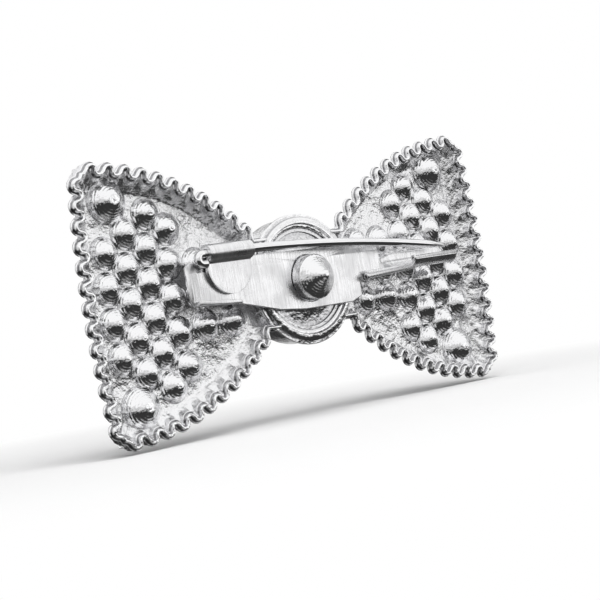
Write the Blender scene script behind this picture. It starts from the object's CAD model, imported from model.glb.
"""Bow brooch seen from its back: a cast bow set with stones, a stamped bar with a folded
hinge and a hook, and a sprung pin. +Y is out of the back, +Z is up as it is worn."""

import math

import bmesh
import bpy
from bpy.props import FloatProperty, FloatVectorProperty, IntProperty, PointerProperty
from mathutils import Matrix, Quaternion, Vector


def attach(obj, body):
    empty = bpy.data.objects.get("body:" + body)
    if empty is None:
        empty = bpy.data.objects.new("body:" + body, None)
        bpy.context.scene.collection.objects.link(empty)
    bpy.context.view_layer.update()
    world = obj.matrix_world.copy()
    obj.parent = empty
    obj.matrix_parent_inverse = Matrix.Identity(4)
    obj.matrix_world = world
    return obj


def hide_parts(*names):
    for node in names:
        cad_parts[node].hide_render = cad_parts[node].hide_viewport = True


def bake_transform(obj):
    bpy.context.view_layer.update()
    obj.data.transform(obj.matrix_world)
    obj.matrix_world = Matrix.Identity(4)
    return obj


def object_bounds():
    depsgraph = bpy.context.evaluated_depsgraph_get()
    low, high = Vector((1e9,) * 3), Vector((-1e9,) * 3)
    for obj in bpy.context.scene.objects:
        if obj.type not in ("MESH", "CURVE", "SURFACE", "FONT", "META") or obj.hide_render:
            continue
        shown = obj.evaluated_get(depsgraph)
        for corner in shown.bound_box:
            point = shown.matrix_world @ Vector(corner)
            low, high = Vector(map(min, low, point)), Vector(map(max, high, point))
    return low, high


bl_info = {
    "name": "Bow brooch",
    "version": (1, 0, 0),
    "blender": (4, 5, 0),
    "location": "View3D > Sidebar > Brooch",
    "description": "Models a stone-set bow brooch with a hinged pin and a hook on its back",
    "category": "Add Mesh",
}

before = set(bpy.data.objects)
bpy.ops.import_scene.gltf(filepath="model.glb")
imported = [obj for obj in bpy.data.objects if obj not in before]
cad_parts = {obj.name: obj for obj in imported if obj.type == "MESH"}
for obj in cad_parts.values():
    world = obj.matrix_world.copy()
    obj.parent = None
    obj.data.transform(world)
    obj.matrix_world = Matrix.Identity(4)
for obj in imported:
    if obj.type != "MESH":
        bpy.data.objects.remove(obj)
cad_low, cad_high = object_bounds()
MM = 0.001
SIDES = {"left": -1, "right": 1}
FIELD_ROWS = (4, 5, 6, 5, 3, 3)
OUTER_ROWS = 4
# Fits between the pieces, in millimetres
SNUG = 0.03
MOUTH_GAP = 0.18
HOLE_GAP = 0.1
FLANGE_LAP = 0.45
CENTRE_GIRDLE = 0.75


def size(name, about, default):
    """A length in millimetres that the user may change."""
    return FloatProperty(name=name, description=about, default=default, min=0.0, max=100.0,
                         precision=2)


def count(name, about, default):
    """A whole number that the user may change."""
    return IntProperty(name=name, description=about, default=default, min=1, max=64)


def colour(name, about, default):
    """A colour that the user may change."""
    return FloatVectorProperty(name=name, description=about, default=default, subtype="COLOR",
                               size=3, min=0.0, max=1.0)


class BowSizes(bpy.types.PropertyGroup):
    """Sizes of the cast bow, in millimetres."""

    width: size("Width", "Between the outer corners", 50.0)
    height: size("Height", "At the outer corners", 26.0)
    waist_width: size("Waist width", "Between the inner ends of the wings", 10.6)
    waist_height: size("Waist height", "Height of the waist", 9.9)
    side_bulge: size("Side bulge", "How far the outer edges bow outwards", 0.75)
    edge_bulge: size("Edge bulge", "How far the long edges bow outwards", 1.95)
    wing_depth: size("Wing depth", "From the back rim to the front of the field", 2.2)
    field: size("Field thickness", "Thickness of the stone field", 0.5)
    wave: size("Wave", "Half the height of a wave of the border", 0.45)
    rib: size("Rib", "Half the width of the wavy rib", 0.16)
    side_waves: count("Side waves", "Waves on each outer edge", 13)
    long_waves: count("Long waves", "Waves on each long edge", 11)
    cup: size("Cup", "Radius of the centre cup's flange", 6.4)
    floor: size("Cup floor", "Depth of the cup's floor below the back rim", 0.6)
    collet: size("Collet", "Height of the centre setting in front of the back rim", 3.5)
    boss: size("Boss", "Radius of the boss where it passes the bar", 2.2)
    boss_height: size("Boss height", "Height of the boss above the back rim", 3.0)


class StoneSizes(bpy.types.PropertyGroup):
    """Sizes of the stones and of their places, in millimetres."""

    field: size("Field stone", "Diameter of a field stone", 2.5)
    corner: size("Corner stone", "Diameter of a corner stone", 3.4)
    centre: size("Centre stone", "Diameter of the centre stone", 11.1)
    pitch: size("Spacing", "Spacing along the four outer rows", 3.2)
    inner_pitch: size("Inner spacing", "Spacing along the two inner rows", 2.9)
    row_step: size("Row step", "Spacing between the outer rows", 2.35)
    inner_step: size("Inner row step", "Spacing between the inner rows", 3.2)
    margin: size("Margin", "From the outer edge to the first row", 3.0)
    curve: size("Row curve", "How far the rows curve back at the corners", 2.0)
    corner_side: size("Corner side", "From the outer edge to a corner stone", 3.7)
    corner_end: size("Corner end", "From the outer corner up or down to its stone", 3.1)
    bead: size("Bead", "Radius of a bead that holds a stone", 0.3)


class BarSizes(bpy.types.PropertyGroup):
    """Sizes of the bar, its fold and its hook, in millimetres."""

    sheet: size("Sheet", "Thickness of the sheet", 0.4)
    hinge_end: size("Hinge end", "From the boss to the hinge end", 14.6)
    hook_end: size("Hook end", "From the boss to the hook's far end", 18.6)
    height: size("Height", "Height of the bar at its middle", 5.9)
    tongue: size("Tongue", "Width of the folded tongue", 5.3)
    fold: size("Fold", "From the boss to the fold's open end", 7.3)
    hinge_line: size("Hinge line", "Height of the pin's hinge line", 3.5)
    hook: size("Hook", "Length of the hook", 6.1)
    curl: size("Curl", "Outside radius of the hook's curl", 1.15)
    curl_height: size("Curl height", "Height of the curl above the back rim", 1.7)


class PinSizes(bpy.types.PropertyGroup):
    """Sizes of the pin wire, in millimetres."""

    wire: size("Wire", "Radius of the wire", 0.425)
    length: size("Length", "From the pivot to the point", 24.8)
    tip: size("Tip", "Length of the sharpened tip", 3.0)
    bow: size("Bow", "How far the pin bows outwards", 0.7)
    point_out: size("Point out", "Height of the point above the back rim", 1.75)
    point_up: size("Point up", "Height of the point above the middle of the boss", 1.25)


class Finishes(bpy.types.PropertyGroup):
    """Colours of the metals, the stones and the stage."""

    cast: colour("Cast metal", "Plated casting", (0.93, 0.93, 0.94))
    tarnish: colour("Tarnish", "Darker metal in the recesses", (0.16, 0.16, 0.17))
    plate: colour("Plate", "Stamped sheet", (0.93, 0.93, 0.94))
    wire: colour("Wire", "Drawn wire", (0.94, 0.94, 0.95))
    stone: colour("Stone", "Clear crystal", (0.97, 0.98, 1.0))
    paper: colour("Paper", "Floor", (0.88, 0.88, 0.88))


# ---- helpers ----
def at(x, y, z):
    """A point in the brooch's frame, given in millimetres."""
    return Vector((x, y, z)) * MM


def clear_selection():
    """Leaves edit mode and selects nothing."""
    if bpy.context.object and bpy.context.object.mode != "OBJECT":
        bpy.ops.object.mode_set(mode="OBJECT")
    bpy.ops.object.select_all(action="DESELECT")


def pick(*objects):
    """Selects just these objects; the last one is active."""
    clear_selection()
    for each in objects:
        each.select_set(True)
    bpy.context.view_layer.objects.active = objects[-1]


def start_ring(name, points):
    """Adds a circle with a vertex for each point, lays it on them and stays in edit mode."""
    clear_selection()
    bpy.ops.mesh.primitive_circle_add(vertices=len(points), radius=MM)
    made = bpy.context.object
    made.name = made.data.name = name
    place = made.data.attributes.new("place", "INT", "POINT")
    for i, point in enumerate(points):
        made.data.vertices[i].co = point
        place.data[i].value = i
    bpy.ops.object.mode_set(mode="EDIT")
    bpy.ops.mesh.select_all(action="SELECT")
    return made


def next_ring(points):
    """Extrudes the selected ring and lays the new one on the points."""
    bpy.ops.mesh.extrude_region()
    mesh = bpy.context.object.data
    shape = bmesh.from_edit_mesh(mesh)
    place = shape.verts.layers.int["place"]
    for corner in shape.verts:
        if corner.select:
            corner.co = points[corner[place]]
    bmesh.update_edit_mesh(mesh)


def close_ring():
    """Fills the selected ring with one face."""
    bpy.ops.mesh.edge_face_add()


def outward():
    """Turns every face of the shape in edit mode outwards."""
    bpy.ops.mesh.select_all(action="SELECT")
    bpy.ops.mesh.remove_doubles(threshold=0.0005 * MM)
    bpy.ops.mesh.normals_make_consistent(inside=False)


def circle_points(radius, y, segments, turn=0.0):
    """Points on a circle round the Y axis, turned by a share of their spacing."""
    return [at(radius * math.cos(a), y, radius * math.sin(a))
            for a in (2 * math.pi * (i + turn) / segments for i in range(segments))]


def turned(name, profile, segments, close_first=True, angle=30):
    """A shape turned round the Y axis from a profile of (radius, y) in millimetres."""
    made = start_ring(name, circle_points(*profile[0], segments))
    if close_first:
        close_ring()
        edge_ring(profile[0][1])
    for radius, y in profile[1:]:
        next_ring(circle_points(radius, y, segments))
    close_ring()
    outward()
    finish_mesh(made, angle)
    return made


def edge_ring(y):
    """Selects only the open edges that lie in the plane at height y."""
    bpy.ops.mesh.select_mode(type="EDGE")
    bpy.ops.mesh.select_all(action="DESELECT")
    mesh = bpy.context.object.data
    shape = bmesh.from_edit_mesh(mesh)
    for edge in shape.edges:
        level = all(abs(v.co.y - y * MM) < 1e-7 for v in edge.verts)
        edge.select_set(level and len(edge.link_faces) == 1)
    bmesh.update_edit_mesh(mesh)


def finish_mesh(made, angle=30):
    """Leaves edit mode, drops the helper attribute and shades smooth below the angle."""
    bpy.ops.object.mode_set(mode="OBJECT")
    place = made.data.attributes.get("place")
    if place:
        made.data.attributes.remove(place)
    pick(made)
    bpy.ops.object.shade_smooth_by_angle(angle=math.radians(angle))


def copies(pattern, places):
    """Copies of a pattern, each with its own mesh, moved to their places in the XZ plane."""
    made = []
    for x, z in places:
        one = pattern.copy()
        one.data = pattern.data.copy()
        one.data.transform(Matrix.Translation(at(x, 0, z)))
        bpy.context.scene.collection.objects.link(one)
        made.append(one)
    return made


def joined(name, parts):
    """Joins the parts into one object with that name."""
    pick(*parts)
    bpy.ops.object.join()
    made = bpy.context.object
    made.name = made.data.name = name
    return made


def use(made, *finishes):
    """Puts these materials, and no other, on an object."""
    made.data.materials.clear()
    for each in finishes:
        made.data.materials.append(each)


def apply(made, kind, **values):
    """Adds a modifier and applies it."""
    pick(made)
    modifier = made.modifiers.new(kind.title(), kind)
    for name, value in values.items():
        setattr(modifier, name, value)
    bpy.ops.object.modifier_apply(modifier=modifier.name)


def marked(made, name, value):
    """Gives every vertex a number; value is a function of its place in millimetres."""
    layer = made.data.attributes.get(name) or made.data.attributes.new(name, "FLOAT", "POINT")
    for i, vertex in enumerate(made.data.vertices):
        layer.data[i].value = value(vertex.co / MM)


# ---- materials ----
def node_setter(tree):
    """A function that adds a node, sets its values and links its inputs."""
    def add(kind, values=None, links=None, **settings):
        node = tree.nodes.new(kind)
        for name, value in settings.items():
            setattr(node, name, value)
        for name, value in (values or {}).items():
            node.inputs[name].default_value = value
        for name, source in (links or {}).items():
            tree.links.new(source, node.inputs[name])
        return node
    return add


def new_material(name):
    """An empty node material, its node adder and its object coordinates in millimetres."""
    made = bpy.data.materials.new(name)
    made.use_nodes = True
    made.node_tree.nodes.clear()
    add = node_setter(made.node_tree)
    place = add("ShaderNodeTexCoord").outputs["Object"]
    grow = add("ShaderNodeMapping", {"Scale": (1000, 1000, 1000)}, {"Vector": place})
    return made, add, grow.outputs["Vector"]


def ramp(add, source, stops):
    """A colour ramp through (position, grey) stops."""
    node = add("ShaderNodeValToRGB", links={"Fac": source})
    band = node.color_ramp
    while len(band.elements) < len(stops):
        band.elements.new(0.5)
    for element, (position, grey) in zip(band.elements, stops):
        element.position = position
        element.color = (grey, grey, grey, 1)
    return node.outputs["Color"]


def output(made, add, shader):
    """Links the shader to the material's output."""
    add("ShaderNodeOutputMaterial", links={"Surface": shader.outputs[0]})
    return made


def noise(add, place, scale, detail, **values):
    """A noise pattern, scale in bumps per millimetre."""
    node = add("ShaderNodeTexNoise", {"Scale": scale, "Detail": detail, **values},
               {"Vector": place})
    return node.outputs["Fac"]


def ranged(add, source, start, end, low=0.0, high=1.0, **settings):
    """A value moved from the range start to end onto the range low to high."""
    node = add("ShaderNodeMapRange", {"From Min": start, "From Max": end, "To Min": low,
               "To Max": high}, {"Value": source}, **settings)
    return node.outputs["Result"]


def mixed_colour(add, factor, first, second, **settings):
    """A mix by a factor of two colours, each of them a socket or three numbers."""
    node = add("ShaderNodeMix", data_type="RGBA", **settings)
    node.id_data.links.new(factor, node.inputs[0])
    for i, source in ((6, first), (7, second)):
        if isinstance(source, bpy.types.NodeSocket):
            node.id_data.links.new(source, node.inputs[i])
        else:
            node.inputs[i].default_value = (*source, 1)
    return node.outputs[2]


def metal(made, add, tone, rough, bump, **values):
    """Finishes a material as a metal of that colour, roughness and bump."""
    shader = add("ShaderNodeBsdfPrincipled", {"Metallic": 1.0, **values},
                 {"Base Color": tone, "Roughness": rough, "Normal": bump.outputs["Normal"]})
    return output(made, add, shader)


def build_cast(looks):
    """Bright plating over a lumpy casting, darker where recess says and rougher where matt
    says."""
    made, add, place = new_material("cast_plating")
    lumps = noise(add, place, 1.3, 3.0)
    grain = noise(add, place, 4.5, 3.0, Roughness=0.55)
    recess = add("ShaderNodeAttribute", attribute_name="recess").outputs["Fac"]
    matt = add("ShaderNodeAttribute", attribute_name="matt").outputs["Fac"]
    spots = ramp(add, grain, [(0.3, 0.5), (0.7, 1.0)])
    stain = add("ShaderNodeMath", links={0: recess, 1: spots}, operation="MULTIPLY",
                use_clamp=True)
    tone = mixed_colour(add, stain.outputs[0], looks.cast, looks.tarnish)
    rough = add("ShaderNodeMath", {1: 0.13}, {0: matt, 2: ranged(add, lumps, 0.35, 0.7, 0.05, 0.14)},
                operation="MULTIPLY_ADD")
    uneven = ranged(add, matt, 0.0, 1.0, 0.5, 1.0)
    low = add("ShaderNodeBump", {"Distance": 0.2 * MM}, {"Height": lumps, "Strength": uneven})
    fine = add("ShaderNodeBump", {"Distance": 0.05 * MM},
               {"Height": grain, "Strength": uneven, "Normal": low.outputs["Normal"]})
    return metal(made, add, tone, rough.outputs[0], fine)


def build_plate(looks):
    """Rolled sheet: satin, with fine scratches up and down and a few smudges."""
    made, add, place = new_material("brushed_plating")
    stretch = add("ShaderNodeMapping", {"Scale": (6.5, 1.0, 0.4)}, {"Vector": place})
    scratch = noise(add, stretch.outputs["Vector"], 1.0, 6.0, Roughness=0.7)
    smudge = noise(add, place, 0.45, 3.0)
    tone = mixed_colour(add, ramp(add, scratch, [(0.38, 0.35), (0.58, 1.0)]),
                        tuple(0.72 * c for c in looks.plate), looks.plate)
    cut = add("ShaderNodeBump", {"Strength": 0.7, "Distance": 0.02 * MM}, {"Height": scratch})
    return metal(made, add, tone, ranged(add, smudge, 0.3, 0.7, 0.16, 0.34), cut,
                 Anisotropic=0.4)


def build_wire(looks):
    """Drawn wire: mirror bright, with faint lengthwise lines."""
    made, add, place = new_material("drawn_wire")
    stretch = add("ShaderNodeMapping", {"Scale": (0.5, 14.0, 14.0)}, {"Vector": place})
    lines = noise(add, stretch.outputs["Vector"], 1.0, 4.0)
    tone = mixed_colour(add, ramp(add, lines, [(0.35, 0.0), (0.65, 1.0)]),
                        tuple(0.9 * c for c in looks.wire), looks.wire)
    cut = add("ShaderNodeBump", {"Strength": 0.3, "Distance": 0.003 * MM}, {"Height": lines})
    return metal(made, add, tone, ranged(add, lines, 0.0, 1.0, 0.04, 0.12), cut)


def build_stone(looks):
    """Clear crystal on a stone's facets, with the faintest haze."""
    made, add, place = new_material("clear_crystal")
    rough = ranged(add, noise(add, place, 0.8, 2.0), 0.0, 1.0, 0.0, 0.02)
    shader = add("ShaderNodeBsdfPrincipled", {"Base Color": (*looks.stone, 1), "IOR": 1.58,
                 "Transmission Weight": 1.0}, {"Roughness": rough})
    return output(made, add, shader)


def build_foil(looks):
    """Silver foil on the pointed back of a stone."""
    made, add, place = new_material("foil")
    tone = mixed_colour(add, noise(add, place, 2.5, 2.0), (0.9, 0.92, 0.95), (0.98, 0.98, 1.0))
    shader = add("ShaderNodeBsdfPrincipled", {"Metallic": 1.0, "Roughness": 0.06},
                 {"Base Color": tone})
    return output(made, add, shader)


FINISHES = {"cast_plating": build_cast, "brushed_plating": build_plate, "drawn_wire": build_wire,
            "clear_crystal": build_stone, "foil": build_foil}


def finish_named(name):
    """The material of that name, made the first time that it is asked for."""
    made = bpy.data.materials.get(name)
    return made or FINISHES[name](bpy.context.scene.brooch_finishes)


# ---- outline of the wing ----
# Points to a wave, how much its crests are widened, and the furthest true offset from it
WAVE_STEPS = 16
WAVE_ROUND = 0.32
TRUE_REACH = 0.36
# Steps along the neck, round the arc behind the cup, and down the fillet of the wall
NECK_STEPS = 4
ARC_STEPS = 24
FILLET_STEPS = 10
# Level of the groove inside the rib, and how far the wall reaches in from the outline
GROOVE = -0.46
WALL_START = 0.46
WALL_REACH = 1.12


def flat_normal(d):
    """The normal to the right of a direction in the plane."""
    return Vector((d.y, -d.x)).normalized()


def flipped(p):
    """A point mirrored from top to bottom."""
    return Vector((p.x, -p.y))


def mitre(point, first, second, off):
    """Where two edges meet after both have moved out by off."""
    return point + off * (first + second) / (1 + first.dot(second))


def wavy_edge(a, b, bulge, waves, wave):
    """Points along an edge that bows out and carries a rounded wave."""
    d = b - a
    n = flat_normal(d)
    points = []
    for i in range(waves * WAVE_STEPS):
        turn = 2 * math.pi * i / WAVE_STEPS
        s = (turn + WAVE_ROUND * math.sin(2 * turn)) / (2 * math.pi * waves)
        points.append(a + d * s + n * (4 * bulge * s * (1 - s) + wave * (1 - math.cos(turn))))
    return points


class WingOutline:
    """The wavy border of the right wing and the lines inside and outside it."""

    def __init__(self, bow):
        self.bow = bow
        self.outer = Vector((bow.width / 2 - bow.wave, bow.height / 2 - bow.wave))
        self.inner = Vector((bow.waist_width / 2, bow.waist_height / 2 - bow.wave))
        self.long_normal = flat_normal(self.inner - self.outer)
        self.neck = (bow.cup - FLANGE_LAP) * Vector((math.cos(math.pi / 4), math.sin(math.pi / 4)))
        self.wavy = self.line(0, bow.wave)
        last = len(self.wavy) - 1
        self.normals = [flat_normal(self.wavy[min(i + 1, last)] - self.wavy[max(i - 1, 0)])
                        for i in range(last + 1)]

    def line(self, off, wave=0.0):
        """The line round the wing, from the lower neck out and back to the upper neck."""
        bow, side = self.bow, Vector((1, 0))
        outer = mitre(self.outer, side, self.long_normal, off - wave)
        inner = mitre(self.inner, -side, self.long_normal, off - wave)
        run = (wavy_edge(flipped(inner), flipped(outer), bow.edge_bulge, bow.long_waves, wave)
               + wavy_edge(flipped(outer), outer, bow.side_bulge, bow.side_waves, wave)
               + wavy_edge(outer, inner, bow.edge_bulge, bow.long_waves, wave) + [inner])
        after = [inner.lerp(self.neck, i / NECK_STEPS) for i in range(1, NECK_STEPS + 1)]
        return [flipped(p) for p in reversed(after)] + run + after

    def neck_arc(self):
        """The arc behind the cup's flange that closes each ring."""
        radius = self.bow.cup - FLANGE_LAP
        half = math.pi / 4
        return [radius * Vector((math.cos(a), math.sin(a)))
                for a in (half - 2 * half * (i + 1) / (ARC_STEPS + 1) for i in range(ARC_STEPS))]

    def ring(self, side, y, along=0.0, smooth=None, share=0.0):
        """A closed ring at height y. It lies along the wave at an even distance, or part of
        the way towards the smooth line."""
        reach = max(-TRUE_REACH, min(TRUE_REACH, along))
        points = [p + n * reach for p, n in zip(self.wavy, self.normals)]
        if share > 0:
            points = [p.lerp(q, share) for p, q in zip(points, self.line(smooth))]
        return [at(side * p.x, y, p.y) for p in points + self.neck_arc()]


def stone_places(bow, stones):
    """Places of the field stones and of the corner stones on the right wing."""
    outer = Vector((bow.width / 2 - bow.wave, bow.height / 2 - bow.wave))
    rows = []
    for row, number in enumerate(FIELD_ROWS):
        pitch = stones.pitch if row < OUTER_ROWS else stones.inner_pitch
        start = (outer.x + bow.side_bulge - stones.margin - stones.row_step * min(row, OUTER_ROWS - 1)
                 - stones.inner_step * max(row - OUTER_ROWS + 1, 0))
        heights = [(i - (number - 1) / 2) * pitch for i in range(number)]
        rows.append([(start - stones.curve * (z / outer.y) ** 2, z) for z in heights])
    corner = (outer.x - stones.corner_side, outer.y - stones.corner_end)
    return rows, [corner, (corner[0], -corner[1])]


# ---- pieces of the casting ----
# How deep a girdle sits behind the front, and the depth of a cut as a share of its diameter
GIRDLE_BELOW = 0.05
CUT_DEPTH = 0.42
CENTRE_CUT_DEPTH = 0.38
# Rings of corners on a stone's front: share of its radius, level as a share of its diameter,
# number of corners and their turn
CROWN = ((0.56, -0.26, 8, 0.0), (0.80, -0.175, 8, 0.5), (1.0, -0.06, 16, 0.0), (1.0, 0.0, 16, 0.0))
# The cones: sides, metal over the stone's point, foot as a share of the stone, ridges
CONE_SEGMENTS = 32
CONE_WALL = 0.4
CONE_REACH = 1.28
RIDGE_PITCH = 0.27
RIDGE_LIFT = 0.012
# The cup: sides, and the width of each step of its rim
CUP_SEGMENTS = 128
CUP_STEP = 0.38


def ridged(start, end, lift, bulge=0.0):
    """Points along a full flank with low turned ridges, four to a ridge."""
    (r0, y0), (r1, y1) = start, end
    slope = math.hypot(r1 - r0, y1 - y0)
    out, up = (y1 - y0) / slope, (r0 - r1) / slope
    ridges = round(slope / RIDGE_PITCH)
    points = []
    for i in range(4 * ridges + 1):
        t = i / (4 * ridges)
        rise = lift * math.sin(math.pi / 2 * i) + bulge * math.sin(math.pi * t)
        points.append((r0 + (r1 - r0) * t + out * rise, y0 + (y1 - y0) * t + up * rise))
    return points


def cone(d, bow):
    """The blunt cone over the back of a stone: a closed shell with a hollow base, turned
    ridges round its flank and a nipple on its nose."""
    r = d / 2
    base = -bow.wing_depth + bow.field
    top = -bow.wing_depth + GIRDLE_BELOW + CUT_DEPTH * d + CONE_WALL
    foot = CONE_REACH * r
    shoulder = (0.42 * r, top - 0.02)
    profile = [(0.05, top - 0.75 * CONE_WALL), (0.95 * r, base - 0.05), (foot, base - 0.1)]
    profile += ridged((foot, base - 0.02), shoulder, RIDGE_LIFT, 0.09 * r)
    profile += [(0.30 * r, top + 0.045), (0.20 * r, top + 0.07), (0.16, top + 0.075),
                (0.145, top + 0.12), (0.12, top + 0.145), (0.05, top + 0.15)]
    made = turned("cone", profile, CONE_SEGMENTS, angle=60)
    marked(made, "recess", lambda p: max(0.0, 1 - (p.y - base) / 0.2) * 0.35)
    return made


def plug(d, bow):
    """The field's skin under a cone, clear of the pit below it."""
    r = d / 2
    base = -bow.wing_depth + bow.field
    top = -bow.wing_depth + GIRDLE_BELOW + CUT_DEPTH * d + 0.3 * CONE_WALL
    made = turned("plug", [(0.96 * r, base), (0.1, top)], CONE_SEGMENTS, close_first=False)
    marked(made, "matt", lambda p: 1.0)
    return made


def seat(d, bow):
    """The pit that a stone sits in, open to the front."""
    front = -bow.wing_depth
    profile = [(d / 2 + 0.06, front), (d / 2 + 0.03, front + 0.05),
               (0.1, front + GIRDLE_BELOW + CUT_DEPTH * d + 0.04)]
    made = turned("seat", profile, CONE_SEGMENTS, close_first=False)
    marked(made, "recess", lambda p: 0.5)
    return made


def wing(side, name, bow, stones):
    """One wing: wavy rib, flange, sloping wall, stone field, cones and seats in one skin."""
    outline = WingOutline(bow)
    front, back = -bow.wing_depth, -bow.wing_depth + bow.field
    rib = bow.rib
    # Each ring: height, distance out from the wave, distance out from the smooth line, how
    # far it goes over to the smooth line, recess
    rings = [
        (front, 0, -1.35, 1, 0.1), (front + 0.03, 0, -1.25, 1, 0), (front + 0.13, 0, -1.15, 1, 0),
        (-1.0, 0, -0.35, 1, 0), (-0.85, 0, -0.15, 1, 0), (-0.79, 0.22, 0.2, 0.5, 0.1),
        (-0.76, 0.30, 0, 0, 0), (-0.70, 0.345, 0, 0, 0), (-0.58, 0.36, 0, 0, 0),
        (-0.47, 0.345, 0, 0, 0), (-0.42, 0.30, 0, 0, 0), (-0.44, rib + 0.07, 0, 0, 0.9),
        (-0.40, rib + 0.01, 0, 0, 0.9), (-0.15, rib, 0, 0, 0.1), (-0.05, rib - 0.04, 0, 0, 0),
        (0.0, 0.35 * rib, 0, 0, 0), (0.0, -0.35 * rib, 0, 0, 0), (-0.05, 0.04 - rib, 0, 0, 0),
        (-0.15, -rib, 0, 0, 0.1), (-0.40, -rib - 0.01, 0, 0, 0.9),
        (-0.45, -rib - 0.06, 0, 0, 0.9), (-0.42, -0.29, 0, 0, 0), (GROOVE, -0.34, 0, 0, 0),
    ]
    slope = []
    for i in range(1, FILLET_STEPS + 1):
        t = i / FILLET_STEPS
        slope.append((GROOVE + (back - GROOVE) * math.sin(math.pi / 2 * t), -TRUE_REACH,
                      -WALL_START - WALL_REACH * t, min(1.0, 0.1 + 1.5 * t), 0))
    made = None
    stains = []
    for y, along, smooth, share, stain in rings + slope:
        points = outline.ring(side, y, along, smooth, share)
        if made is None:
            made = start_ring(name, points)
        else:
            next_ring(points)
        stains += [stain] * len(points)
    matts = [0.0] * (len(rings) * len(points)) + [1.0] * (len(slope) * len(points))
    bpy.ops.object.mode_set(mode="OBJECT")
    for key, values in (("recess", stains), ("matt", matts)):
        made.data.attributes.new(key, "FLOAT", "POINT").data.foreach_set("value", values)
    rows, corners = stone_places(bow, stones)
    places = [(side * x, z) for row in rows for x, z in row]
    corners = [(side * x, z) for x, z in corners]

    def spread(maker):
        parts = []
        for d, where in ((stones.field, places), (stones.corner, corners)):
            pattern = maker(d, bow)
            parts += copies(pattern, where)
            bpy.data.objects.remove(pattern)
        return parts

    made = joined(name, spread(plug) + spread(seat) + [made])
    bpy.ops.object.mode_set(mode="EDIT")
    for y in (front, back):
        edge_ring(y)
        bpy.ops.mesh.fill(use_beauty=True)
    outward()
    finish_mesh(made, 38)
    beads = []
    pattern = bead(stones, bow)
    for row in rows:
        for (x0, z0), (x1, z1) in zip(row, row[1:]):
            beads += [(side * ((x0 + x1) / 2 + way * 1.2 * stones.bead), (z0 + z1) / 2)
                      for way in (-1, 1)]
    made = joined(name, copies(pattern, beads) + spread(cone) + [made])
    bpy.data.objects.remove(pattern)
    return made


def bead(stones, bow):
    """One bead that holds the stones beside it."""
    clear_selection()
    bpy.ops.mesh.primitive_uv_sphere_add(segments=16, ring_count=10, radius=stones.bead * MM)
    made = bpy.context.object
    made.data.transform(Matrix.Translation(at(0, -bow.wing_depth, 0)))
    bpy.ops.object.shade_smooth()
    return made


def centre_cup(bow, stones):
    """The cup behind the centre stone, its stepped rim, its boss and the collet in front."""
    r, floor, step = bow.cup, -bow.floor, CUP_STEP
    rim = r - 2 * step - 0.28
    hole = stones.centre / 2 + SNUG
    girdle = -bow.collet + CENTRE_GIRDLE
    nose, shoulder = bow.boss_height, bow.boss_height - 1.35
    profile = [
        (0.16, nose), (0.36, nose - 0.03), (0.45, nose - 0.12), (0.47, nose - 0.26),
        (0.52, nose - 0.32),
        *ridged((0.56, nose - 0.34), (0.84 * bow.boss, shoulder), 0.014, 0.05),
        (0.90 * bow.boss, shoulder - 0.05), (0.96 * bow.boss, shoulder - 0.09),
        (bow.boss, shoulder - 0.21), (bow.boss, 0),
        (bow.boss + 0.35, -0.3), (bow.boss + 1.0, floor), (rim - 2 * step, floor),
        (rim - 2 * step + 0.03, floor + 0.12), (rim - 2 * step + 0.07, floor + 0.16),
        (rim - step - 0.03, floor + 0.16), (rim - step, floor + 0.19),
        (rim - step + 0.03, floor + 0.32), (rim - step + 0.07, floor + 0.35),
        (rim - 0.04, floor + 0.35), (rim, floor + 0.39),
        (rim + 0.04, -0.06), (rim + 0.11, 0), (r - step - 0.08, 0), (r - step, -0.06),
        (r - step + 0.02, -0.3), (r - step + 0.06, -0.34), (r - 0.06, -0.36), (r, -0.42),
        (r, -0.7), (r - 0.06, -0.78), (r - 0.3, -1.0), (r - 0.3, -bow.collet + 0.4),
        (r - 0.36, -bow.collet + 0.1), (hole - 0.1, -bow.collet), (hole - 0.36, -bow.collet + 0.02),
        (hole - 0.4, -bow.collet + 0.1), (hole, girdle - 0.5), (hole, girdle),
        (0.2, girdle + CENTRE_CUT_DEPTH * stones.centre + 0.04),
    ]
    made = turned("centre_cup", profile, CUP_SEGMENTS, angle=38)
    feet = (rim - 2 * step, rim - step, rim + 2 * step - 0.1)
    marked(made, "recess", lambda p: cup_recess(math.hypot(p.x, p.z), p.y, feet))
    return made


def cup_recess(radius, y, feet):
    """How dark the cup is at a radius: the foot of each step holds tarnish."""
    if y < -0.8:
        return 0.15
    near = min(abs(radius - foot) for foot in feet)
    return 0.7 * max(0.0, 1 - near / 0.12) if y < 0 else 0.0


def stone(name, d, girdle_y, depth):
    """A round cut stone: table, crown, girdle and pointed back, as the hull of its corners."""
    back_facets = (0.62, 0.20 * depth / CUT_DEPTH, 8, 0.5)
    points = [at(0, girdle_y + depth * d, 0)]
    for share, level, number, turn in (*CROWN, back_facets):
        points += circle_points(share * d / 2, girdle_y + level * d, number, turn)
    clear_selection()
    bpy.ops.mesh.primitive_circle_add(vertices=len(points), radius=MM)
    made = bpy.context.object
    made.name = made.data.name = name
    for vertex, point in zip(made.data.vertices, points):
        vertex.co = point
    bpy.ops.object.mode_set(mode="EDIT")
    bpy.ops.mesh.select_all(action="SELECT")
    bpy.ops.mesh.delete(type="EDGE_FACE")
    bpy.ops.mesh.select_all(action="SELECT")
    bpy.ops.mesh.convex_hull(join_triangles=True, face_threshold=0.02, shape_threshold=0.02)
    outward()
    bpy.ops.object.mode_set(mode="OBJECT")
    use(made, finish_named("clear_crystal"), finish_named("foil"))
    for face in made.data.polygons:
        face.material_index = int(face.normal.y > 0.05)
        face.use_smooth = False
    return made


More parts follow.
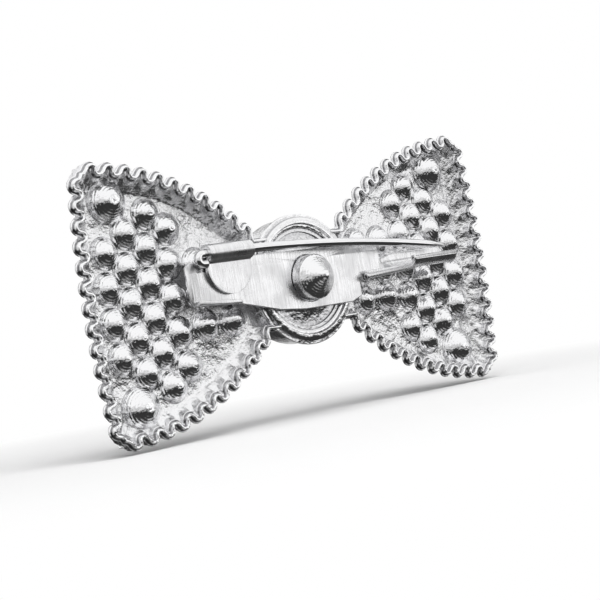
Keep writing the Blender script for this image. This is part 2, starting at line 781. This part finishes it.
# ---- pieces of the bar ----
# The step pressed along the bar, and the cuts where its hinge end bends in
STEP_LOW = 1.7
STEP_HIGH = 1.86
STEP_DEPTH = 0.1
BEND_CUTS = (11.4, 12.2, 12.9, 13.6, 14.2)
# How far the tongue wraps past straight down, then its steps: length and turn in degrees
PRESS_LEAN = 70
PRESS_STEPS = ((0.15, 0), (0.15, 0)) + ((0.05, -10),) * 7
# The hook: level and start of its wall, the bar's shoulder beside it, and its lip's turn
WALL_LEVEL = -0.5
WALL_END = -7.1
SHOULDER = -9.8
LIP_TURN = math.radians(72)
HEM_SIDES = 18
# The wire: how far its loop runs past the tongue, and the roll of the plane that it bows in
LOOP_RUN = 0.5
BOW_ROLL = math.radians(33)


def soften(made, width, angle):
    """Rounds a sheet's edges that are sharper than the angle and shades it smooth."""
    apply(made, "BEVEL", width=width * MM, segments=3, limit_method="ANGLE",
          angle_limit=math.radians(angle))
    pick(made)
    bpy.ops.object.shade_smooth_by_angle(angle=math.radians(40))
    apply(made, "WEIGHTED_NORMAL", keep_sharp=True)


def sheet_patch(name, rows, thickness):
    """A bent sheet through rows of points, given a thickness and soft edges."""
    clear_selection()
    bpy.ops.mesh.primitive_grid_add(x_subdivisions=len(rows[0]) - 1, y_subdivisions=len(rows) - 1,
                                    size=MM)
    made = bpy.context.object
    made.name = made.data.name = name
    flat = [point for row in rows for point in row]
    for vertex, point in zip(made.data.vertices, flat):
        vertex.co = point
    apply(made, "SOLIDIFY", thickness=thickness * MM, offset=0.0, use_even_offset=True)
    bpy.ops.object.mode_set(mode="EDIT")
    outward()
    bpy.ops.object.mode_set(mode="OBJECT")
    soften(made, 0.09, 50)
    return made


def flat_sheet(name, outline, hole_radius, thickness):
    """The body of the bar, with the hole for the boss, its pressed step and its bent end."""
    made = start_ring(name, [at(x, thickness / 2, z) for x, z in outline])
    bpy.ops.object.mode_set(mode="OBJECT")
    hole = start_ring("hole", circle_points(hole_radius, thickness / 2, 64))
    bpy.ops.object.mode_set(mode="OBJECT")
    made = joined(name, [hole, made])
    bpy.ops.object.mode_set(mode="EDIT")
    bpy.ops.mesh.select_all(action="SELECT")
    bpy.ops.mesh.fill(use_beauty=True)
    for co, no in [((0, 0, z), (0, 0, 1)) for z in (STEP_LOW, STEP_HIGH)] + [
            ((x, 0, 0), (1, 0, 0)) for x in BEND_CUTS]:
        bpy.ops.mesh.select_all(action="SELECT")
        bpy.ops.mesh.bisect(plane_co=at(*co), plane_no=no)
    finish_mesh(made)
    for vertex in made.data.vertices:
        x, z = vertex.co.x / MM, vertex.co.z / MM
        step = min(1.0, max(0.0, (z - STEP_LOW) / (STEP_HIGH - STEP_LOW)))
        bend = max(0.0, x - BEND_CUTS[0]) ** 2
        vertex.co.y -= (STEP_DEPTH * step + 0.03 * bend) * MM
    apply(made, "SOLIDIFY", thickness=thickness * MM, offset=0.0)
    bpy.ops.object.mode_set(mode="EDIT")
    outward()
    bpy.ops.mesh.dissolve_limited(angle_limit=math.radians(1))
    bpy.ops.object.mode_set(mode="OBJECT")
    soften(made, 0.08, 40)
    return made


def bar_outline(bar):
    """The bar's outline as points (x, z), anticlockwise seen from the back."""
    low, high = -bar.height / 2, bar.height / 2 - 0.05
    end, fold, tab = bar.hinge_end, bar.fold, SHOULDER - 0.8
    notch = WALL_END + 0.5
    return [
        (end, -0.4), (end - 0.3, -1.1), (9, -1.5), (4.2, low + 0.3), (1, low), (-5.2, low),
        (notch, low + 0.5), (notch, WALL_LEVEL - 0.5), (WALL_END, WALL_LEVEL - 0.5),
        (WALL_END, WALL_LEVEL), (tab, WALL_LEVEL), (tab, WALL_LEVEL + 1.2),
        (SHOULDER, WALL_LEVEL + 1.2), (SHOULDER, high - 0.6), (SHOULDER + 0.6, high), (fold, high),
        (fold + bar.tongue, high), (end - 0.5, high), (end, high - 0.5)]


def tongue(bar, pin):
    """The tongue: up from the bar's top edge, round the wire, pressed in below it and down
    to a rounded end."""
    y0 = wire_level(bar, pin)
    bend = pin.wire + SNUG + bar.sheet / 2
    half = bar.tongue / 2
    path = [(bar.sheet / 2, bar.height / 2 - 0.6, half), (bar.sheet / 2, bar.hinge_line - 0.1, half)]
    for i in range(27):
        turn = math.radians(180 + PRESS_LEAN) * i / 26
        path.append((y0 - bend * math.cos(turn), bar.hinge_line + bend * math.sin(turn), half))
    y, z, wide = path[-1]
    heading = math.radians(PRESS_LEAN)
    for step, turn in PRESS_STEPS:
        heading += math.radians(turn)
        y, z = y - step * math.sin(heading), z - step * math.cos(heading)
        path.append((y, z, half))
    low = z - 0.3
    for i in range(17):
        turn = math.radians(87) * i / 16
        path.append((y, low - half * math.sin(turn), half * math.cos(turn)))
    across = 18
    rows = [[at(bar.fold + half + wide * (2 * j / across - 1), y, z) for j in range(across + 1)]
            for y, z, wide in path]
    return sheet_patch("tongue", rows, bar.sheet)


def hook(bar):
    """The hook: a dished back that turns under into a wall and up into a lip, with a rolled
    hem along the wall's edge and another along the lip."""
    mid = bar.curl - bar.sheet / 2
    wall_z = WALL_LEVEL + bar.sheet / 2
    centre_z = WALL_LEVEL + bar.curl
    far, near = -bar.hook_end, -bar.hook_end + bar.hook
    floor = bar.sheet / 2 + 0.04
    deep = bar.curl_height - floor
    path = [(floor, 1.32, SHOULDER - 2.4), (floor, 1.15, SHOULDER - 1.0),
            (floor, 0.9, SHOULDER - 0.2)]
    for i in range(11):
        turn = math.pi / 2 * (1 - i / 10)
        path.append((bar.curl_height - deep * math.sin(turn), centre_z - mid * math.cos(turn),
                     SHOULDER + (near - SHOULDER) * (1 - math.sin(turn))))
    for i in range(1, 11):
        turn = LIP_TURN * i / 10
        path.append((bar.curl_height + mid * math.sin(turn), centre_z - mid * math.cos(turn), near))
    rows = [[at(far + (end - far) * j / 14, y, z) for j in range(15)] for y, z, end in path]
    run = near - WALL_END
    wall = [[at(WALL_END + run * t, 0.1 + share * (0.75 + 0.8 * t), wall_z)
             for t in (j / 10 for j in range(11))] for share in (0.0, 0.35, 0.7, 1.0)]
    lip_y = bar.curl_height + mid * math.sin(LIP_TURN)
    lip_z = centre_z - mid * math.cos(LIP_TURN)
    hems = [tube("wall_hem", at(WALL_END + 0.1, 0.92, wall_z - 0.42),
                 at(near - 0.5, 1.86, wall_z - 0.1), 0.28, 0.17),
            tube("lip_hem", at(near + 0.1, lip_y - 0.12, lip_z + 0.02),
                 at(far + 0.02, lip_y - 0.12, lip_z + 0.1), 0.25, 0.15)]
    sheets = [sheet_patch("wall", wall, bar.sheet), sheet_patch("curl", rows, bar.sheet)]
    return joined("hook", hems + sheets)


def tube(name, start, end, radius, bore):
    """A rolled hem: a straight tube with a flared first end and a bore right through."""
    way = (end - start).normalized()
    turn = way.to_track_quat("Z", "Y")
    soft = 0.05
    stations = [(0, bore), (0, 1.3 * radius - soft), (soft, 1.3 * radius), (0.2, 1.25 * radius),
                (0.32, radius), (-soft, radius), (0, radius - soft), (0, bore), (0, bore)]
    rings = []
    for i, (shift, r) in enumerate(stations):
        foot = end if 5 <= i <= 7 else start
        rings.append([foot + way * shift * MM
                      + turn @ Vector((r * math.cos(a), r * math.sin(a), 0)) * MM
                      for a in (2 * math.pi * j / HEM_SIDES for j in range(HEM_SIDES))])
    made = start_ring(name, rings[0])
    for ring in rings[1:]:
        next_ring(ring)
    outward()
    finish_mesh(made, 50)
    return made


def turned_edge(bar):
    """The low wall turned up under the hinge end."""
    edge = ((bar.hinge_end - 0.3, -1.1), (11.8, -1.28), (9.2, -1.48))
    rows = [[at(x, y, z + bar.sheet / 2) for x, z in edge] for y in (0.1, 0.5, bar.sheet + 0.6)]
    return sheet_patch("turned_edge", rows, bar.sheet)


def wire_level(bar, pin):
    """Height of the wire's middle line where it lies in the fold."""
    return bar.sheet + pin.wire + SNUG


def pin_path(bar, pin):
    """The wire's middle line and radii, from its short leg in the fold to its point."""
    y0, z0 = wire_level(bar, pin), bar.hinge_line
    bend = pin.wire + SNUG
    run = bar.fold + bar.tongue + LOOP_RUN
    path = [(run - 0.42, y0, z0 - 2 * bend), (run - 0.2, y0, z0 - 2 * bend)]
    path += [(run + bend * math.sin(a), y0, z0 - bend - bend * math.cos(a))
             for a in (math.pi * i / 12 for i in range(13))]
    path += [(run - 1.5, y0, z0), (bar.fold, y0, z0)]
    pivot = Vector((bar.fold - MOUTH_GAP - pin.wire, y0, z0))
    rise = math.asin((pin.point_out - y0) / pin.length)
    drop = math.asin((z0 - pin.point_up) / pin.length)
    place = (Matrix.Translation(pivot) @ Matrix.Rotation(-rise, 4, "Z")
             @ Matrix.Rotation(-drop, 4, "Y") @ Matrix.Scale(-1, 4, Vector((1, 0, 0)))
             @ Matrix.Rotation(BOW_ROLL, 4, "X"))
    radius = pin.length ** 2 / (8 * pin.bow) + pin.bow / 2
    half = math.asin(pin.length / 2 / radius)
    body = 2 * half * (pin.length - pin.tip) / pin.length
    steps = 40
    local = [radius * Vector((math.sin(half) - math.sin(a), math.cos(a) - math.cos(half), 0))
             for a in (half - body * i / steps for i in range(1, steps + 1))]
    ahead = (local[-1] - local[-2]).normalized()
    taper = [(0.2, 0.97), (0.45, 0.84), (0.7, 0.6), (0.88, 0.34), (0.96, 0.18), (1.0, 0.08)]
    start = local[-1].copy()
    local += [start + ahead * pin.tip * t for t, _ in taper]
    points = [Vector(p) for p in path] + [place @ p for p in local]
    radii = [1.0] * (len(points) - len(taper)) + [r for _, r in taper]
    return points, radii


def pin_wire(bar, pin):
    """The whole wire as one round tube that tapers to the point."""
    points, radii = pin_path(bar, pin)
    line = bpy.data.curves.new("pin_wire", "CURVE")
    line.dimensions = "3D"
    line.bevel_depth = pin.wire * MM
    line.bevel_resolution = 8
    line.use_fill_caps = True
    spline = line.splines.new("POLY")
    spline.points.add(len(points) - 1)
    for knot, point, radius in zip(spline.points, points, radii):
        knot.co = (*(point * MM), 1)
        knot.radius = radius
    made = bpy.data.objects.new("pin_wire", line)
    bpy.context.scene.collection.objects.link(made)
    pick(made)
    bpy.ops.object.convert(target="MESH")
    made = bpy.context.object
    bpy.ops.object.mode_set(mode="EDIT")
    outward()
    finish_mesh(made, 50)
    return made


# ---- operators ----
class BROOCH_OT_wing(bpy.types.Operator):
    """Models both wings of the casting, with their rib, cones, seats and beads"""

    bl_idname = "brooch.wings"
    bl_label = "Wings"

    def execute(self, context):
        scene = context.scene
        for word, side in SIDES.items():
            made = wing(side, word + "_wing", scene.brooch_bow, scene.brooch_stones)
            use(made, finish_named("cast_plating"))
            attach(made, "brooch")
            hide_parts("bow_casting")
        return {"FINISHED"}


class BROOCH_OT_cup(bpy.types.Operator):
    """Models the centre cup with its stepped rim, boss and collet"""

    bl_idname = "brooch.cup"
    bl_label = "Centre cup"

    def execute(self, context):
        scene = context.scene
        made = centre_cup(scene.brooch_bow, scene.brooch_stones)
        use(made, finish_named("cast_plating"))
        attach(made, "brooch")
        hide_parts("bow_casting")
        return {"FINISHED"}


class BROOCH_OT_stones(bpy.types.Operator):
    """Models the stones, row by row, and the centre stone"""

    bl_idname = "brooch.stones"
    bl_label = "Stones"

    def execute(self, context):
        scene = context.scene
        bow, stones = scene.brooch_bow, scene.brooch_stones
        rows, corners = stone_places(bow, stones)
        girdle = -bow.wing_depth + GIRDLE_BELOW
        field = stone("field_stone", stones.field, girdle, CUT_DEPTH)
        corner = stone("corner_stone", stones.corner, girdle, CUT_DEPTH)
        for word, side in SIDES.items():
            sets = [(f"{word}_stones_{i + 1}", field, row) for i, row in enumerate(rows)]
            sets.append((f"{word}_corner_stones", corner, corners))
            for node, pattern, places in sets:
                made = joined(node + "_cut", copies(pattern, [(side * x, z) for x, z in places]))
                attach(made, "brooch")
                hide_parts(node)
        bpy.data.objects.remove(field)
        bpy.data.objects.remove(corner)
        made = stone("centre_stone_cut", stones.centre, -bow.collet + CENTRE_GIRDLE,
                     CENTRE_CUT_DEPTH)
        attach(made, "brooch")
        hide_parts("centre_stone")
        return {"FINISHED"}


class BROOCH_OT_bar(bpy.types.Operator):
    """Models the stamped bar with its folded tongue, turned edge and hook"""

    bl_idname = "brooch.bar"
    bl_label = "Bar and hook"

    def execute(self, context):
        scene = context.scene
        bow, bar, pin = scene.brooch_bow, scene.brooch_bar, scene.brooch_pin
        parts = [tongue(bar, pin), hook(bar), turned_edge(bar),
                 flat_sheet("bar", bar_outline(bar), bow.boss + HOLE_GAP, bar.sheet)]
        made = joined("stamped_bar", parts)
        use(made, finish_named("brushed_plating"))
        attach(made, "brooch")
        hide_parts("bar_plate")
        return {"FINISHED"}


class BROOCH_OT_pin(bpy.types.Operator):
    """Models the sprung wire, from its bent end in the fold to its point"""

    bl_idname = "brooch.pin"
    bl_label = "Pin wire"

    def execute(self, context):
        scene = context.scene
        bar, pin = scene.brooch_bar, scene.brooch_pin
        made = pin_wire(bar, pin)
        use(made, finish_named("drawn_wire"))
        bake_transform(made)
        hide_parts("pin_anchor", "pin_stem")
        return {"FINISHED"}


class BROOCH_OT_stage(bpy.types.Operator):
    """Adds the pale floor, the sky, the soft lights and the camera"""

    bl_idname = "brooch.stage"
    bl_label = "Stage, lights and camera"

    def execute(self, context):
        scene = context.scene
        add_floor(scene)
        add_sky(scene)
        add_lamps()
        add_camera(scene)
        return {"FINISHED"}


# ---- stage ----
STAGE_REACH = 2.0
# Millimetres from the middle where the paper starts to glow and where it only glows
GLOW_FROM = 20.0
GLOW_FULL = 95.0
# Share of +Y where the sky goes over to the stones' side, and where its panels come in
SIDE_FADE = (0.38, 0.08)
PANEL_FADE = (-0.5, -0.75)
# Each lamp: name, place and size in metres, power in watts
LAMPS = (("key", (0.10, 0.30, 0.35), (0.45, 0.35), 2.4),
         ("overhead", (0.02, 0.02, 0.45), (0.40, 0.30), 0.9),
         ("bar_card", (-0.30, 0.34, 0.02), (0.30, 0.16), 0.08))
# The camera: turn, rise and roll in degrees; distance, aim and lens in millimetres
CAMERA_ANGLES = (138.04, -1.77, -9.78)
CAMERA_AWAY = 165.7
CAMERA_AIM = (0.71, -0.72, -1.97)
CAMERA_LENS = 102.46


def add_floor(scene):
    """A pale sheet of paper just under the brooch, glowing away from it, and a pale dome
    round everything."""
    clear_selection()
    bpy.ops.mesh.primitive_circle_add(vertices=96, radius=STAGE_REACH, fill_type="NGON")
    made = bpy.context.object
    made.name = "paper_floor"
    made.data.transform(Matrix.Translation((0, 0, cad_low[2] - 0.02 * MM)))
    paper, add, place = new_material("paper")
    colour = scene.brooch_finishes.paper
    tone = mixed_colour(add, noise(add, place, 0.6, 3.0), tuple(0.985 * c for c in colour), colour)
    sheet = add("ShaderNodeBsdfPrincipled", {"Roughness": 0.9, "Specular IOR Level": 0.1},
                {"Base Color": tone})
    glow = add("ShaderNodeEmission", {"Strength": 1.0})
    away = add("ShaderNodeVectorMath", links={0: place}, operation="LENGTH").outputs["Value"]
    share = ranged(add, away, GLOW_FROM, GLOW_FULL, interpolation_type="SMOOTHSTEP")
    both = add("ShaderNodeMixShader", links={0: share, 1: sheet.outputs[0], 2: glow.outputs[0]})
    use(made, output(paper, add, both))
    made.visible_glossy = False

    clear_selection()
    bpy.ops.mesh.primitive_uv_sphere_add(segments=48, ring_count=24, radius=STAGE_REACH)
    dome = bpy.context.object
    dome.name = "pale_dome"
    for hidden in ("diffuse", "glossy", "transmission", "shadow"):
        setattr(dome, "visible_" + hidden, False)
    white, add, _ = new_material("pale_dome")
    use(dome, output(white, add, add("ShaderNodeEmission", {"Strength": 1.0})))


def add_sky(scene):
    """A studio sky that only the metal and the stones mirror: white above and dark below,
    with a pale band between them that is lower and softer on the stone side, where dark
    panels break it up."""
    sky = bpy.data.worlds.new("studio")
    sky.use_nodes = True
    sky.node_tree.nodes.clear()
    add = node_setter(sky.node_tree)
    way = add("ShaderNodeTexCoord").outputs["Generated"]
    parts = add("ShaderNodeSeparateXYZ", links={"Vector": way}).outputs
    height = ranged(add, parts["Z"], -1.0, 1.0)
    low = [(0.0, 0.45), (0.05, 0.2), (0.10, 0.04)]
    back = ramp(add, height, low + [(0.44, 0.03), (0.48, 0.62), (0.60, 0.62), (0.68, 1.0), (1.0, 1.0)])
    front = ramp(add, height, low + [(0.26, 0.05), (0.34, 0.5), (0.5, 0.85), (0.60, 0.7), (0.70, 1.0)])
    side = ranged(add, parts["Y"], *SIDE_FADE, interpolation_type="SMOOTHSTEP")
    panels = ramp(add, noise(add, way, 6.0, 1.0), [(0.42, 0.08), (0.5, 1.0)])
    ahead = ranged(add, parts["Y"], *PANEL_FADE, interpolation_type="SMOOTHSTEP")
    tone = mixed_colour(add, side, back, front)
    broken = mixed_colour(add, ahead, tone, panels, blend_type="MULTIPLY")
    light = add("ShaderNodeBackground", {"Strength": 1.0}, {"Color": broken})
    add("ShaderNodeOutputWorld", links={"Surface": light.outputs[0]})
    scene.world = sky
    sky.cycles_visibility.diffuse = False
    scene.view_settings.view_transform = "Standard"


def add_lamps():
    """A large soft key beside the camera and above it, an overhead, and a card that lights
    the bar."""
    for name, place, reach, power in LAMPS:
        lamp = bpy.data.lights.new(name, "AREA")
        lamp.shape = "RECTANGLE"
        lamp.size, lamp.size_y = reach
        lamp.energy = power
        made = bpy.data.objects.new(name, lamp)
        made.location = place
        made.rotation_euler = (-Vector(place)).to_track_quat("-Z", "Y").to_euler()
        made.visible_camera = False
        made.visible_glossy = name == "bar_card"
        bpy.context.scene.collection.objects.link(made)


def add_camera(scene):
    """A long lens behind the brooch, a little below its middle and rolled."""
    turn, rise, roll = (math.radians(angle) for angle in CAMERA_ANGLES)
    back = Vector((math.sin(turn) * math.cos(rise), -math.cos(turn) * math.cos(rise),
                   math.sin(rise)))
    lens = bpy.data.cameras.new("camera")
    lens.lens, lens.sensor_width = CAMERA_LENS, 36.0
    lens.clip_start = 0.01
    made = bpy.data.objects.new("camera", lens)
    made.location = back * CAMERA_AWAY * MM
    aim = at(*CAMERA_AIM) - made.location
    made.rotation_mode = "QUATERNION"
    made.rotation_quaternion = aim.to_track_quat("-Z", "Y") @ Quaternion((0, 0, 1), roll)
    scene.collection.objects.link(made)
    scene.camera = made


class BROOCH_PT_panel(bpy.types.Panel):
    """Lists the brooch's sizes and the steps that model it"""

    bl_label = "Brooch"
    bl_idname = "BROOCH_PT_panel"
    bl_space_type = "VIEW_3D"
    bl_region_type = "UI"
    bl_category = "Brooch"

    def draw(self, context):
        for name in GROUPS:
            group = getattr(context.scene, name)
            box = self.layout.box()
            for key in group.bl_rna.properties.keys():
                if key not in {"rna_type", "name"}:
                    box.prop(group, key)
        for operator in OPERATORS:
            self.layout.operator(operator.bl_idname)


GROUPS = {"brooch_bow": BowSizes, "brooch_stones": StoneSizes, "brooch_bar": BarSizes,
          "brooch_pin": PinSizes, "brooch_finishes": Finishes}
OPERATORS = (BROOCH_OT_stage, BROOCH_OT_wing, BROOCH_OT_cup, BROOCH_OT_stones, BROOCH_OT_bar,
             BROOCH_OT_pin)


def register():
    """Registers the classes and puts the size groups on the scene."""
    for each in (*GROUPS.values(), *OPERATORS, BROOCH_PT_panel):
        bpy.utils.register_class(each)
    for name, group in GROUPS.items():
        setattr(bpy.types.Scene, name, PointerProperty(type=group))


def unregister():
    """Takes the size groups off the scene and unregisters the classes."""
    for name in GROUPS:
        delattr(bpy.types.Scene, name)
    for each in (BROOCH_PT_panel, *reversed(OPERATORS), *GROUPS.values()):
        bpy.utils.unregister_class(each)


def main():
    """Models the brooch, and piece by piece."""
    register()
    for operator in OPERATORS:
        group, name = operator.bl_idname.split(".")
        getattr(getattr(bpy.ops, group), name)()


if __name__ == "__main__":
    main()
